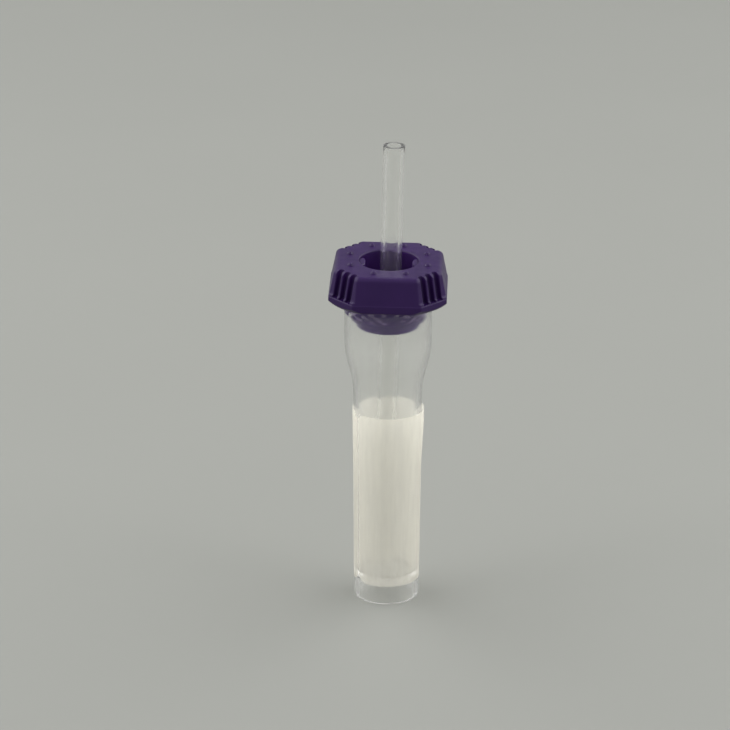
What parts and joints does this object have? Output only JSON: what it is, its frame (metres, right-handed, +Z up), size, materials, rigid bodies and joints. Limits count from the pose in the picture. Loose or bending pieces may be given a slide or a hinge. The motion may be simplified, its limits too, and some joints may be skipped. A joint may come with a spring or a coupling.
{
  "type": "capillary blood collection tube",
  "caption": "Small clear collection tube on an open skirt, with a wrap label, an octagonal push-in cap and a capillary held through the cap.",
  "frame": {"origin": "centre of the tube's foot, on the surface that it stands on", "axes": "+Z up along the tube's axis, towards the cap; +X to the side that the capillary leans to; the cap's flats face X and Y"},
  "size_m": [0.0179, 0.0179, 0.0737],
  "materials": {
    "clear_polypropylene": "clear, faintly milky moulded polypropylene",
    "label_film": "satin translucent cream self-adhesive film, unprinted",
    "purple_polyethylene": "satin moulded purple polyethylene",
    "clear_acrylic": "clear drawn plastic tube with cut ends"
  },
  "bodies": {
    "vessel": {"tube": "clear_polypropylene", "label": "label_film"},
    "closure": {"cap": "purple_polyethylene"},
    "filler": {"capillary": "clear_acrylic"}
  },
  "joints": [
    {"name": "cap_pull", "type": "slide", "parent": "vessel", "child": "closure", "axis": [0.0102, -0.0297, 0.9995], "range_m": [0, 0.05]},
    {"name": "capillary_pull", "type": "slide", "parent": "closure", "child": "filler", "axis": [0.021, -0.0297, 0.9993], "range_m": [0, 0.053]}
  ]
}
